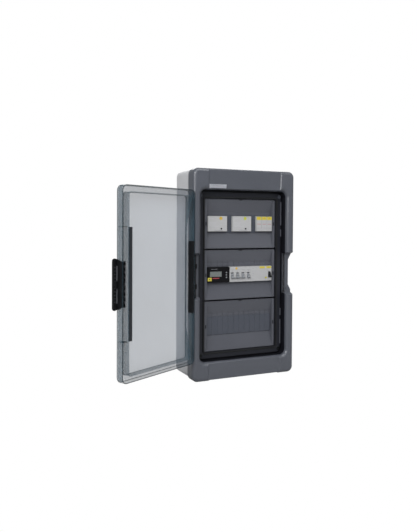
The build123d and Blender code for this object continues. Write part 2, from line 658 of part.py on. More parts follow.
with BuildPart() as breaker_3p_toggle:
    for pole_x in POLES_3:
        toggle_lever(pole_x, ROWS["middle"], LEVER_W)
    angle = radians(TOGGLE_DOWN)
    tie_y = TOGGLE_Y - (TOGGLE_REACH - 1.9) * cos(angle)
    tie_z = ROWS["middle"] + TOGGLE_Z - (TOGGLE_REACH - 1.9) * sin(angle)
    discs(section(POLES_3[0]), [(tie_y, tie_z)], 1.3, 2 * MODULE)
save(breaker_3p_toggle, "breaker_3p_toggle")

with BuildPart() as breaker_1p_body:
    device_body(ROWS["middle"], BREAKER_X + 3 * MODULE, BREAKER_X + 4 * MODULE)
    toggle_pocket(POLE_1, ROWS["middle"], LEVER_W + 0.8)
save(breaker_1p_body, "breaker_1p_body")

with BuildPart() as breaker_1p_toggle:
    toggle_lever(POLE_1, ROWS["middle"], LEVER_W)
save(breaker_1p_toggle, "breaker_1p_toggle")

RCD_X = BREAKER_X + 4 * MODULE
RCD_TOGGLE_X = RCD_X + 3.6 * MODULE
TEST_KEY = (RCD_X + 2.9 * MODULE, -13.0)
with BuildPart() as rcd_body:
    device_body(ROWS["middle"], RCD_X, RCD_X + 4 * MODULE)
    toggle_pocket(RCD_TOGGLE_X, ROWS["middle"], LEVER_W + 0.8)
    test_plane = facing(NOSE_Y + 5, TEST_KEY[0], ROWS["middle"] + TEST_KEY[1])
    block(test_plane, -3.3, 3.3, -2.3, 2.3, 6, Mode.SUBTRACT)
save(rcd_body, "rcd_body")

with BuildPart() as rcd_toggle:
    toggle_lever(RCD_TOGGLE_X, ROWS["middle"], LEVER_W)
save(rcd_toggle, "rcd_toggle")

with BuildPart() as rcd_test_key:
    test_front = facing(NOSE_Y + 3.2, TEST_KEY[0], ROWS["middle"] + TEST_KEY[1])
    block(test_front, -3, 3, -2, 2, 4.2)
    fillet(rcd_test_key.faces().sort_by(Axis.Y)[0].edges(), 0.4)
save(rcd_test_key, "rcd_test_key")

with BuildPart() as terminal_screws:
    discs(facing(SHOULDER_Y + 8), terminal_wells, 3.0, 2.5)
    for well_x, well_z in terminal_wells:
        slot = facing(SHOULDER_Y + 5.5, well_x, well_z)
        block(slot, -2.4, 2.4, -0.5, 0.5, -1, Mode.SUBTRACT)
save(terminal_screws, "terminal_screws")

with BuildPart() as foot_clips:
    for foot_x, foot_z in foot_places:
        foot = facing(RAIL_LIP_Y, foot_x, foot_z)
        block(foot, -6, 6, -BODY_HALF - 4, -17.9, 3)
        block(foot, -6, 6, -21, -17.9, -3.6)
        block(facing(RAIL_LIP_Y + 1.4, foot_x, foot_z), -6, 6, -17.9, -15, -2.2)
save(foot_clips, "foot_clips")

# ---- door ---------------------------------------------------------------------------
DOOR_MID_U = DOOR_U0 + DOOR_W / 2
RIB_V = -12.7              # edge of the inner rib that presses on the seal
RIB_T = 2.4
ARM_Z = (22.0, 36.0)       # the two hinge arms, from the middle of the door
ARM_HALF = 2.8
KNUCKLE_R = 5.2
BAR_HALF = 101.0
STRIP_BAR_HALF = 141.0
FREE_U = DOOR_U0 + DOOR_W
HANDLE_HALF = 64.0
HANDLE_AXIS = (FREE_U + 3.4, 7.6)
HANDLE_PIN_R = 1.5
HANDLE_REACH = 15.2        # how far the grip stands out from the door's free edge
LUG_HALF = 4.0


def door_side(u):
    """Plane across the door's width: sketch x is Z from the middle, sketch y is the outside."""
    along = (cos(radians(DOOR_OPEN)), -sin(radians(DOOR_OPEN)), 0)
    origin = (HINGE_X + u * along[0], HINGE_Y + u * along[1], STACK_Z)
    return Plane(origin=origin, x_dir=(0, 0, 1), z_dir=along)


with BuildPart() as door_shell:
    with BuildSketch(door_plane(SKIRT_V)):
        with Locations((DOOR_MID_U, 0)):
            RectangleRounded(DOOR_W, DOOR_H, DOOR_CORNER)
    extrude(amount=PANE_V - SKIRT_V)
    outward = door_plane(0).z_dir
    pane_face = door_shell.faces().sort_by(Axis((0, 0, 0), tuple(outward)))[-1]
    fillet(pane_face.edges(), 3.5)
    with BuildSketch(door_plane(SKIRT_V)):
        with Locations((DOOR_MID_U, 0)):
            inside_w = DOOR_W - 2 * SKIRT_WALL
            RectangleRounded(inside_w, DOOR_H - 2 * SKIRT_WALL, DOOR_CORNER - SKIRT_WALL)
    extrude(amount=PANE_V - PANE_WALL - SKIRT_V, mode=Mode.SUBTRACT)
    # Inner rib, lowered along the hinge side where the bar sits.
    with BuildSketch(door_plane(RIB_V)):
        with Locations((DOOR_MID_U, 0)):
            ring(2 * SEAL_X + RIB_T, 2 * SEAL_Z + RIB_T, 8, RIB_T)
    extrude(amount=PANE_V - PANE_WALL - RIB_V)
    low_rib = [(-222, RIB_V - 1), (-140, 5.5), (140, 5.5), (222, RIB_V - 1)]
    prism(door_side(DOOR_MID_U - SEAL_X - 4), low_rib, 8, Mode.SUBTRACT)
    # Slots for the hinge arms and the central lug of the handle.
    for side in (-1, 1):
        slot = door_side(DOOR_U0 - 1)
        z0 = side * (ARM_Z[0] - 0.5)
        z1 = side * (ARM_Z[1] + 0.5)
        block(slot, z0, z1, -ARM_HALF - 0.4, ARM_HALF + 0.4, SKIRT_WALL + 2, Mode.SUBTRACT)
    lug = door_level(-LUG_HALF)
    block(lug, FREE_U - 0.5, HANDLE_AXIS[0], HANDLE_AXIS[1] - 2.6, PANE_V, -2 * LUG_HALF)
    discs(lug, [HANDLE_AXIS], 2.6, -2 * LUG_HALF)
    discs(lug, [HANDLE_AXIS], HANDLE_PIN_R, -2 * LUG_HALF, Mode.SUBTRACT)
save(door_shell, "door_shell")

BAR_U0 = DOOR_U0 + SKIRT_WALL
with BuildPart() as door_hinge_bar:
    bar = door_level(-BAR_HALF)
    block(bar, BAR_U0, BAR_U0 + 4, SKIRT_V + 0.2, PANE_V - PANE_WALL, -2 * BAR_HALF)
    for side in (-1, 1):
        arm_start = door_level(-ARM_Z[1]) if side > 0 else door_level(ARM_Z[0])
        arm_z = ARM_Z[1] - ARM_Z[0]
        block(arm_start, 0, BAR_U0 + 1, -ARM_HALF, ARM_HALF, -arm_z)
        discs(arm_start, [(0, 0)], KNUCKLE_R, -arm_z)
    discs(door_level(-60), [(0, 0)], PIN_BORE_R, -120, Mode.SUBTRACT)
save(door_hinge_bar, "door_hinge_bar")

with BuildPart() as hinge_pin:
    discs(level(STACK_Z - PIN_HALF), [(HINGE_X, HINGE_Y)], PIN_R, 2 * PIN_HALF)
save(hinge_pin, "hinge_pin")

with BuildPart() as door_latch_strip:
    rib_u = DOOR_MID_U + SEAL_X - RIB_T / 2
    strip = door_level(-STRIP_BAR_HALF)
    block(strip, rib_u - 13, rib_u, RIB_V + 1.2, RIB_V + 4.4, -2 * STRIP_BAR_HALF)
    block(strip, rib_u - 2, rib_u, RIB_V + 4.4, PANE_V - PANE_WALL - 3, -2 * STRIP_BAR_HALF)
save(door_latch_strip, "door_latch_strip")

with BuildPart() as door_latch_block:
    latch_block = door_level(-57)
    block_u = FREE_U - SKIRT_WALL
    block(latch_block, block_u - 12, block_u, -5.5, PANE_V - PANE_WALL, -114)
    for number in range(9):
        latch_rib = door_level(-50 + 12.5 * number - 3.4)
        block(latch_rib, block_u - 9.5, block_u - 1.5, -6, -2.8, -6.8, Mode.SUBTRACT)
save(door_latch_block, "door_latch_block")

with BuildPart() as door_handle:
    plate_u = FREE_U + 0.4
    plate_ends = [
        (-HANDLE_HALF + 8, SKIRT_V + 0.6),
        (HANDLE_HALF - 8, SKIRT_V + 0.6),
        (HANDLE_HALF - 1.5, 7.2),
        (HANDLE_HALF - 1.5, PANE_V),
        (-HANDLE_HALF + 1.5, PANE_V),
        (-HANDLE_HALF + 1.5, 7.2),
    ]
    prism(door_side(plate_u), plate_ends, 1.9)
    with BuildSketch(door_plane(5.4)) as grip:
        with Locations((plate_u + HANDLE_REACH / 2 - 0.2, 0)):
            RectangleRounded(HANDLE_REACH - 0.4, 2 * HANDLE_HALF - 8, 7)
    extrude(grip.sketch, amount=PANE_V - 5.4)
    with BuildSketch(door_plane(8.6)) as cap:
        with Locations((plate_u + HANDLE_REACH / 2 - 0.2, 0)):
            RectangleRounded(HANDLE_REACH - 0.4, 2 * HANDLE_HALF, 7)
    extrude(cap.sketch, amount=PANE_V - 8.6)
    for number in range(11):
        rib_z = (number - 5) * 9.6
        grip_rib = door_plane(5.4)
        u0 = plate_u + HANDLE_REACH - 7.5
        block(grip_rib, u0, u0 + 5.5, rib_z - 1.3, rib_z + 1.3, -1)
    bridge = door_plane(1.6)
    block(bridge, plate_u, plate_u + HANDLE_REACH - 3, -9, 9, 4.4)
    clear = door_level(-LUG_HALF - 0.5)
    lug_end = HANDLE_AXIS[0] + 3.2
    block(clear, FREE_U, lug_end, HANDLE_AXIS[1] - 3.6, PANE_V + 1, -2 * LUG_HALF - 1, Mode.SUBTRACT)
    discs(door_level(-31), [HANDLE_AXIS], HANDLE_PIN_R + 0.06, -62, Mode.SUBTRACT)
save(door_handle, "door_handle")

with BuildPart() as handle_pin:
    discs(door_level(-30), [HANDLE_AXIS], HANDLE_PIN_R, -60)
save(handle_pin, "handle_pin")

# ---- inner wiring -------------------------------------------------------------------
TERMINAL_Z = 250.0
TERMINAL_L = 88.0
CLAMPS = 8
COMB_Z = ROWS["middle"] - BODY_HALF
COMB_X = (BREAKER_X + 6.0, RCD_X + 66.0)

with BuildPart() as terminal_carrier:
    block(facing(-BASE_WALL), -100, 100, TERMINAL_Z - 9, TERMINAL_Z + 9, 14)
    block(facing(-BASE_WALL), -96, 96, TERMINAL_Z - 6.5, TERMINAL_Z + 6.5, 11, Mode.SUBTRACT)
save(terminal_carrier, "terminal_carrier")

for name, x0 in (("neutral_terminal", -92.0), ("earth_terminal", 4.0)):
    with BuildPart() as terminal:
        top_y = -BASE_WALL - 14
        block(facing(top_y), x0, x0 + TERMINAL_L, TERMINAL_Z - 7, TERMINAL_Z + 7, 15)
        clamp_x = [x0 + (place + 0.5) * TERMINAL_L / CLAMPS for place in range(CLAMPS)]
        clamps = [(x, TERMINAL_Z) for x in clamp_x]
        discs(facing(top_y - 8), clamps, 3.4, 8, Mode.SUBTRACT)
        for x in clamp_x:
            entry = Plane(origin=(x, top_y - 4, TERMINAL_Z - 8), z_dir=(0, 0, 1))
            discs(entry, [(0, 0)], 2.4, 7, Mode.SUBTRACT)
    save(terminal, name)

with BuildPart() as clamp_screws:
    for x0 in (-92.0, 4.0):
        clamp_x = [x0 + (place + 0.5) * TERMINAL_L / CLAMPS for place in range(CLAMPS)]
        clamps = [(x, TERMINAL_Z) for x in clamp_x]
        discs(facing(-BASE_WALL - 22), clamps, 3.1, 3)
save(clamp_screws, "clamp_screws")

with BuildPart() as comb_busbar:
    block(facing(-66), COMB_X[0], COMB_X[1], COMB_Z - 7, COMB_Z - 5, 10)
    for place in range(6):
        tooth_x = BREAKER_X + (place + 0.5) * MODULE
        block(facing(-67, tooth_x), -2.5, 2.5, COMB_Z - 5, COMB_Z, 3)
save(comb_busbar, "comb_busbar")

with BuildPart() as comb_cover:
    block(facing(-64), COMB_X[0] - 2, COMB_X[1] + 2, COMB_Z - 9, COMB_Z - 3.6, 14)
    block(facing(-65.8), COMB_X[0] - 0.2, COMB_X[1] + 0.2, COMB_Z - 7.2, COMB_Z, 10.4, Mode.SUBTRACT)
save(comb_cover, "comb_cover")

WIRE_R = 1.8


def wire(points, bends, name):
    """Insulated wire along straight runs joined by tangent arcs."""
    with BuildPart() as lead:
        with BuildLine() as route:
            FilletPolyline(*points, radius=bends)
        with BuildSketch(Plane(origin=route.line @ 0, z_dir=route.line % 0)) as bore:
            Circle(WIRE_R)
        sweep(bore.sketch, path=route.line)
    save(lead, name)


wire_top = TERMINAL_Z - 8.5
for name, wire_x, row_top, start_x in (
    ("wire_neutral", -86.5, ROWS["upper"] + BODY_HALF + 1, -90.0),
    ("wire_earth", 92.0 - 5.5, ROWS["upper"] + BODY_HALF + 1, 81.0),
):
    points = [
        (wire_x, -BASE_WALL - 18, wire_top),
        (wire_x, -BASE_WALL - 18, wire_top - 22),
        (start_x, -70, row_top + 12),
        (start_x, -70, row_top),
    ]
    wire(points, 7, name)
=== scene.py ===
"""DC combiner box: the visual model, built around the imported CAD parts."""

import math

import bmesh
import bpy
from mathutils import Matrix, Vector
from mathutils.bvhtree import BVHTree


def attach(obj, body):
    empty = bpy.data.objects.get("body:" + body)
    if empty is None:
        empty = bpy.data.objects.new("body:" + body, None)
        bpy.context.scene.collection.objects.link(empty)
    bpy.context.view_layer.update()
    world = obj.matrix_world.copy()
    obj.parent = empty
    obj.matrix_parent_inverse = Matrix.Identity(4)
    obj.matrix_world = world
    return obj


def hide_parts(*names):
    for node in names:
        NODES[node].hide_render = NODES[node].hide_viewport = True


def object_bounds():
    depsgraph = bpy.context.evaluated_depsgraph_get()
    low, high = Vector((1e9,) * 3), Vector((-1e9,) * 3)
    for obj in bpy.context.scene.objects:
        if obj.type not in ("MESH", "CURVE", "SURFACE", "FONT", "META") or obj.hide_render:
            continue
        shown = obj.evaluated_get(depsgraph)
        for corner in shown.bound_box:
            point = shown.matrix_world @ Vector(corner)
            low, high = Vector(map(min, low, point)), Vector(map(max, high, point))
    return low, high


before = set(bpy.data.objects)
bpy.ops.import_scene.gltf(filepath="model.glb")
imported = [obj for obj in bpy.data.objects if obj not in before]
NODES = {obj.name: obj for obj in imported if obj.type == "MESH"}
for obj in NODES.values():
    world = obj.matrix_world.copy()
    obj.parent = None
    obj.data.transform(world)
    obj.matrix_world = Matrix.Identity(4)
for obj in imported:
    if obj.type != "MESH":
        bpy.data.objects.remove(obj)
CAD_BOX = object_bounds()

# ---- colours ------------------------------------------------------------------------


def tone(red, green, blue):
    """Linear colour from display values of 0 to 255."""
    out = []
    for part in (red, green, blue):
        part /= 255
        out.append(part / 12.92 if part <= 0.04045 else ((part + 0.055) / 1.055) ** 2.4)
    return (*out, 1.0)


def scaled(colour, factor):
    return (*(min(1.0, part * factor) for part in colour[:3]), 1.0)


# ---- materials ----------------------------------------------------------------------


class Finish:
    """A material under construction: a Principled shader and the nodes that feed it."""

    def __init__(self, name):
        self.material = bpy.data.materials.new(name)
        self.material.use_nodes = True
        self.tree = self.material.node_tree
        self.shader = self.tree.nodes["Principled BSDF"]
        self.place = self.add("ShaderNodeTexCoord").outputs["Object"]

    def add(self, kind, **values):
        node = self.tree.nodes.new(kind)
        for key, value in values.items():
            setattr(node, key, value)
        return node

    def link(self, out, into):
        self.tree.links.new(out, into)

    def noise(self, scale, detail=3.0, stretch=(1, 1, 1)):
        mapping = self.add("ShaderNodeMapping")
        mapping.inputs["Scale"].default_value = stretch
        self.link(self.place, mapping.inputs["Vector"])
        node = self.add("ShaderNodeTexNoise")
        node.inputs["Scale"].default_value = scale
        node.inputs["Detail"].default_value = detail
        self.link(mapping.outputs[0], node.inputs["Vector"])
        return node.outputs["Fac"]

    def ramp(self, fac, stops):
        node = self.add("ShaderNodeValToRGB")
        ramp = node.color_ramp
        while len(ramp.elements) < len(stops):
            ramp.elements.new(0.5)
        for element, (place, colour) in zip(ramp.elements, stops):
            element.position = place
            element.color = colour
        self.link(fac, node.inputs["Fac"])
        return node.outputs["Color"]

    def spread(self, fac, low, high):
        """Values from low to high over the middle of a noise's range."""
        node = self.add("ShaderNodeMapRange")
        node.inputs["From Min"].default_value = 0.3
        node.inputs["From Max"].default_value = 0.7
        node.inputs["To Min"].default_value = low
        node.inputs["To Max"].default_value = high
        self.link(fac, node.inputs["Value"])
        return node.outputs["Result"]

    def bump(self, height, strength, distance, normal=None):
        node = self.add("ShaderNodeBump")
        node.inputs["Strength"].default_value = strength
        node.inputs["Distance"].default_value = distance
        self.link(height, node.inputs["Height"])
        if normal is not None:
            self.link(normal, node.inputs["Normal"])
        return node.outputs["Normal"]

    def put(self, **sockets):
        for key, value in sockets.items():
            self.shader.inputs[key.replace("_", " ")].default_value = value


def moulded(name, colour, rough, grain, mottle, edge, sheen=None, gloss=0.5):
    """Injection-moulded plastic: fine spark-eroded grain, faint flow marks, soft edges."""
    made = Finish(name)
    drift = made.noise(9.0, 4.0)
    fleck = made.noise(520.0, 2.0)
    low = scaled(colour, 1 - mottle)
    high = scaled(colour, 1 + mottle)
    broad = made.ramp(drift, [(0.3, low), (0.7, high)])
    fine = made.ramp(fleck, [(0.35, scaled(colour, 0.9)), (0.65, scaled(colour, 1.1))])
    mix = made.add("ShaderNodeMix", data_type="RGBA")
    mix.inputs["Factor"].default_value = 0.35
    made.link(broad, mix.inputs["A"])
    made.link(fine, mix.inputs["B"])
    made.link(mix.outputs["Result"], made.shader.inputs["Base Color"])
    patch = made.noise(34.0, 5.0)
    made.link(made.spread(patch, rough - 0.05, rough + 0.07), made.shader.inputs["Roughness"])
    pits = made.noise(1500.0, 2.0)
    soft = made.add("ShaderNodeBevel", samples=3)
    soft.inputs["Radius"].default_value = edge
    normal = made.bump(pits, grain, 0.00012, soft.outputs["Normal"])
    made.link(normal, made.shader.inputs["Normal"])
    made.put(IOR=1.5, Specular_IOR_Level=gloss)
    if sheen is not None:
        made.put(Coat_Weight=sheen, Coat_Roughness=0.28)
    return made.material


def metal(name, colour, rough, along=(1, 30, 30)):
    """Plated or drawn metal with fine lines along its length and dull patches."""
    made = Finish(name)
    lines = made.noise(60.0, 3.0, along)
    patch = made.noise(45.0, 5.0)
    made.link(
        made.ramp(
            patch, [(0.3, scaled(colour, 0.78)), (0.55, colour), (0.8, scaled(colour, 1.12))]
        ),
        made.shader.inputs["Base Color"],
    )
    made.link(made.spread(patch, rough - 0.08, rough + 0.14), made.shader.inputs["Roughness"])
    made.link(made.bump(lines, 0.18, 0.0001), made.shader.inputs["Normal"])
    made.put(Metallic=1.0)
    return made.material


def rubber(name, colour):
    """Soft dark elastomer with bloom and a matt, slightly uneven skin."""
    made = Finish(name)
    bloom = made.noise(60.0, 5.0)
    made.link(
        made.ramp(bloom, [(0.35, colour), (0.72, scaled(colour, 1.9))]),
        made.shader.inputs["Base Color"],
    )
    made.link(made.spread(bloom, 0.58, 0.78), made.shader.inputs["Roughness"])
    made.link(made.bump(made.noise(700.0), 0.3, 0.0001), made.shader.inputs["Normal"])
    return made.material


def tinted(name, colour, alpha, rough):
    """Clear tinted moulding, seen through a skin that keeps some of its own colour."""
    made = Finish(name)
    haze = made.noise(6.0, 3.0)
    made.link(
        made.ramp(haze, [(0.3, scaled(colour, 0.93)), (0.7, scaled(colour, 1.06))]),
        made.shader.inputs["Base Color"],
    )
    dullness = made.spread(made.noise(5.0, 2.0), rough, rough + 0.02)
    made.link(dullness, made.shader.inputs["Roughness"])
    made.put(Alpha=alpha, IOR=1.58)
    return made.material


def printed(name, colour, rough=0.45):
    """Ink or a paper label, slightly uneven."""
    made = Finish(name)
    fibre = made.noise(380.0, 4.0)
    made.link(
        made.ramp(fibre, [(0.3, scaled(colour, 0.9)), (0.7, scaled(colour, 1.05))]),
        made.shader.inputs["Base Color"],
    )
    made.link(made.spread(fibre, rough, rough + 0.12), made.shader.inputs["Roughness"])
    made.link(made.bump(fibre, 0.08, 0.00005), made.shader.inputs["Normal"])
    return made.material


FRAME_GREY = moulded(
    "frame_grey", tone(83, 86, 94), rough=0.34, grain=0.3, mottle=0.05, edge=0.0006, sheen=0.4
)
# Painted shade: the frame's recess walls are darkened to stand for the shade inside the deep
# recess.
RECESS_PAINTED_SHADE = moulded(
    "recess_painted_shade", tone(19, 20, 26), rough=0.42, grain=0.25, mottle=0.08, edge=0.0005, gloss=0.3
)
# Painted shade: the recess ledge is darkened, a little less than the walls, for the shade it sits
# in.
LEDGE_PAINTED_SHADE = moulded(
    "ledge_painted_shade", tone(32, 34, 42), rough=0.42, grain=0.25, mottle=0.08, edge=0.0005, gloss=0.4
)
BASE_GREY = moulded(
    "base_grey", tone(194, 194, 196), rough=0.5, grain=0.25, mottle=0.03, edge=0.0005
)
COVER_GREY = moulded(
    "cover_grey", tone(84, 86, 94), rough=0.42, grain=0.25, mottle=0.05, edge=0.0004, sheen=0.12
)
BLANK_GREY = moulded(
    "blank_grey", tone(73, 77, 87), rough=0.42, grain=0.2, mottle=0.05, edge=0.0003, sheen=0.1
)
MEMBRANE = moulded(
    "membrane_grey", tone(170, 171, 173), rough=0.6, grain=0.2, mottle=0.04, edge=0.0003
)
DEVICE_WHITE = moulded(
    "device_white", tone(182, 182, 183), rough=0.4, grain=0.15, mottle=0.02, edge=0.0003
)
METER_BLACK = moulded(
    "meter_black", tone(14, 14, 17), rough=0.4, grain=0.15, mottle=0.08, edge=0.0003, gloss=0.2
)
LEVER_GREY = moulded(
    "lever_grey", tone(128, 131, 135), rough=0.4, grain=0.15, mottle=0.04, edge=0.0003
)
LEVER_BLACK = moulded(
    "lever_black", tone(16, 18, 21), rough=0.36, grain=0.15, mottle=0.08, edge=0.0003, gloss=0.3
)
HANDLE_BLACK = moulded(
    "handle_black", tone(12, 13, 16), rough=0.42, grain=0.35, mottle=0.1, edge=0.0005, gloss=0.3
)
STRIP_GREY = moulded(
    "strip_grey", tone(46, 48, 53), rough=0.45, grain=0.4, mottle=0.12, edge=0.0003, gloss=0.3
)
# Painted highlight: the grip ribs are black like the handle; this lighter grey stands for the
# light they catch.
GRIP_RIB_PAINTED_HIGHLIGHT = moulded(
    "grip_rib_painted_highlight", tone(52, 53, 58), rough=0.4, grain=0.3, mottle=0.1, edge=0.0004
)
# Painted highlight: a pale grey for the light lines and glints caught on the handle and latch.
PAINTED_HIGHLIGHT = moulded(
    "painted_highlight", tone(128, 130, 136), rough=0.3, grain=0.2, mottle=0.06, edge=0.0003
)
KEY_YELLOW = moulded(
    "key_yellow", tone(196, 186, 70), rough=0.35, grain=0.15, mottle=0.04, edge=0.0003
)
TAB_BLACK = moulded(
    "tab_black", tone(24, 26, 32), rough=0.5, grain=0.2, mottle=0.08, edge=0.0003
)
BLUE_SHEATH = moulded(
    "sheath_blue", tone(32, 74, 160), rough=0.45, grain=0.2, mottle=0.05, edge=0.0003
)
GREEN_SHEATH = moulded(
    "sheath_green", tone(52, 130, 58), rough=0.45, grain=0.2, mottle=0.05, edge=0.0003
)
CARRIER_GREY = moulded(
    "carrier_grey", tone(120, 124, 128), rough=0.5, grain=0.2, mottle=0.05, edge=0.0003
)
SEAL_BLACK = rubber("seal_black", tone(15, 16, 19))
ZINC = metal("zinc_steel", tone(196, 198, 198), 0.3)
STEEL_PIN = metal("pin_steel", tone(188, 188, 186), 0.22, (30, 30, 1))
BRASS = metal("brass_bar", tone(206, 170, 92), 0.28)
COPPER = metal("copper_bar", tone(200, 128, 88), 0.3)
PANE = tinted("door_pane", tone(158, 168, 180), 0.40, 0.22)
PANE_EDGE = tinted("door_edge", tone(66, 88, 100), 0.38, 0.1)
PANE_RIM = tinted("door_rim", tone(26, 42, 50), 0.8, 0.12)
LCD = printed("display_grey", tone(118, 124, 122), 0.18)
LABEL_WHITE = printed("label_white", tone(216, 218, 226))
INK_YELLOW = printed("ink_yellow", tone(206, 192, 72))
INK_ORANGE = printed("ink_orange", tone(208, 170, 62))
INK_LIME = printed("ink_lime", tone(190, 198, 72))
INK_GREY = printed("ink_grey", tone(150, 151, 156))
INK_PALE = printed("ink_pale", tone(196, 197, 202))
INK_DARK = printed("ink_dark", tone(46, 48, 54))
INK_RED = printed("ink_red", tone(186, 74, 82))

FINISHES = {
    FRAME_GREY: ["lid_frame"],
    BASE_GREY: ["base_housing"],
    MEMBRANE: ["entry_membranes", "fixing_caps"],
    SEAL_BLACK: ["lid_gasket", "door_seal"],
    COVER_GREY: ["row_cover_upper", "row_cover_middle", "row_cover_lower"],
    BLANK_GREY: ["blanks_upper", "blanks_lower", "lid_screw_top_left", "lid_screw_top_right"],
    LEVER_BLACK: ["lid_screw_bottom_left", "lid_screw_bottom_right", "rcd_toggle", "foot_clips"],
    TAB_BLACK: ["cover_release_tabs", "cover_side_clips", "relay_left_dial", "relay_right_dial",
                "hinge_pin"],
    ZINC: ["din_rail_upper", "din_rail_middle", "din_rail_lower", "carrier_uprights",
           "terminal_screws"],
    STEEL_PIN: ["frame_screws", "rail_screws", "clamp_screws", "handle_pin"],
    DEVICE_WHITE: ["relay_left_body", "relay_right_body", "surge_base", "surge_plug_1",
                   "surge_plug_2", "surge_plug_3", "breaker_3p_body", "breaker_1p_body",
                   "rcd_body"],
    METER_BLACK: ["meter_body"],
    LCD: ["meter_display"],
    LEVER_GREY: ["breaker_3p_toggle", "breaker_1p_toggle", "meter_key_1", "meter_key_2",
                 "meter_key_3"],
    KEY_YELLOW: ["rcd_test_key"],
    HANDLE_BLACK: ["door_handle", "door_hinge_bar", "door_latch_strip", "door_latch_block"],
    CARRIER_GREY: ["terminal_carrier", "comb_cover"],
    BRASS: ["neutral_terminal", "earth_terminal"],
    COPPER: ["comb_busbar"],
    BLUE_SHEATH: ["wire_neutral"],
    GREEN_SHEATH: ["wire_earth"],
    PANE: ["door_shell"],
}
for finish, names in FINISHES.items():
    for node_name in names:
        for slot in NODES[node_name].material_slots:
            slot.material = finish

# ---- piece building -----------------------------------------------------------------
# Lengths below are in millimetres, in the CAD's frame: +Z up and the front towards -Y.
# Only Vectors and what reads a mesh are in metres.


def piece_from(mesh_maker, name, body, finish):
    """Link a mesh made by mesh_maker(bm), riding on a body."""
    bm = bmesh.new()
    mesh_maker(bm)
    bmesh.ops.recalc_face_normals(bm, faces=bm.faces)
    mesh = bpy.data.meshes.new(name)
    bm.to_mesh(mesh)
    bm.free()
    mesh.materials.append(finish)
    piece = bpy.data.objects.new(name, mesh)
    bpy.context.scene.collection.objects.link(piece)
    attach(piece, body)
    return piece


def refinished(name, node, finishes, pick, body):
    """Copy of a CAD node's mesh in several finishes, shown in the node's place.

    pick(face) gives the number of the face's finish.
    """
    mesh = NODES[node].data.copy()
    mesh.name = name
    mesh.materials.clear()
    for finish in finishes:
        mesh.materials.append(finish)
    for face in mesh.polygons:
        face.material_index = pick(face)
    piece = bpy.data.objects.new(name, mesh)
    bpy.context.scene.collection.objects.link(piece)
    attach(piece, body)
    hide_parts(node)


def about(middle, half):
    return (middle - half, middle + half)


def rounded(x0, x1, z0, z1, radius, steps=5):
    """Outline of a rectangle with rounded corners, in metres from millimetres."""
    points = []
    corners = ((x1, z1, 0), (x0, z1, 90), (x0, z0, 180), (x1, z0, 270))
    for cx, cz, start in corners:
        mid_x = cx - radius if cx == x1 else cx + radius
        mid_z = cz - radius if cz == z1 else cz + radius
        for step in range(steps + 1):
            angle = math.radians(start + 90 * step / steps)
            points.append((mid_x + radius * math.cos(angle), mid_z + radius * math.sin(angle)))
    return [(x / 1000, z / 1000) for x, z in points]


def round_outline(x, z, radius, steps=28):
    """Outline of a disc, in metres from millimetres."""
    turn = 2 * math.pi / steps
    return [
        ((x + radius * math.cos(turn * k)) / 1000, (z + radius * math.sin(turn * k)) / 1000)
        for k in range(steps)
    ]


def plate(name, outline, layer, finish, body="enclosure", soften=0.00006):
    """Thin plate facing the front, from layer's back to its front, its outer edge eased."""
    y_back, y_front = layer

    def make(bm):
        back = [bm.verts.new((x, y_back / 1000, z)) for x, z in outline]
        face = bm.faces.new(back)
        lifted = bmesh.ops.extrude_face_region(bm, geom=[face])["geom"]
        top = [item for item in lifted if isinstance(item, bmesh.types.BMVert)]
        bmesh.ops.translate(bm, vec=(0, (y_front - y_back) / 1000, 0), verts=top)
        rim = [edge for edge in bm.edges if all(vert in top for vert in edge.verts)]
        bmesh.ops.bevel(bm, geom=rim, offset=soften, segments=2, affect="EDGES")

    return piece_from(make, name, body, finish)


def on_surface(name, x0, x1, z0, z1, node, finish):
    """Label laid on a node's front skin, following it."""
    source = NODES[node].data
    points = [vert.co.copy() for vert in source.vertices]
    tree = BVHTree.FromPolygons(points, [tuple(face.vertices) for face in source.polygons])
    columns, rows = 14, 6
    in_front, lift = -0.3, 0.00018

    def make(bm):
        grid = []
        for row in range(rows + 1):
            line = []
            for column in range(columns + 1):
                x = (x0 + (x1 - x0) * column / columns) / 1000
                z = (z0 + (z1 - z0) * row / rows) / 1000
                hit = tree.ray_cast(Vector((x, in_front, z)), Vector((0, 1, 0)))[0]
                line.append(bm.verts.new((x, hit.y - lift, z)))
            grid.append(line)
        for lower, upper in zip(grid, grid[1:]):
            for column in range(columns):
                after = column + 1
                bm.faces.new((lower[column], lower[after], upper[after], upper[column]))
        bmesh.ops.solidify(bm, geom=bm.faces[:], thickness=lift * 0.8)

    return piece_from(make, name, "enclosure", finish)


# ---- door: one clear tray, its skirt and rib deeper in colour than its pane ---------
# On the open door u runs from the hinge axis to the free edge, v out of its face, z up.
HINGE = Vector((-0.1558, -0.1247, -0.0035))
OPEN = math.radians(152)
ALONG = Vector((math.cos(OPEN), -math.sin(OPEN), 0))
OUTWARD = Vector((-math.sin(OPEN), -math.cos(OPEN), 0))

DOOR_WIDTH, DOOR_HEIGHT = 283, 490
DOOR_NEAR_EDGE = 14.3
DOOR_MID = DOOR_NEAR_EDGE + DOOR_WIDTH / 2
DOOR_RIB_WIDTH, DOOR_RIB_HEIGHT = 2 * 122, 2 * 227
PANE_FRONT = 0.0075


def door_finish(face):
    depth = (face.center - HINGE).dot(OUTWARD)
    flat = abs(face.normal.dot(OUTWARD)) > 0.95
    return 0 if flat and depth > PANE_FRONT else 1


refinished("door_tray", "door_shell", (PANE, PANE_EDGE), door_finish, "door")


def tray_point(u, v, z):
    return HINGE + ALONG * (u / 1000) + OUTWARD * (v / 1000) + Vector((0, 0, z / 1000))


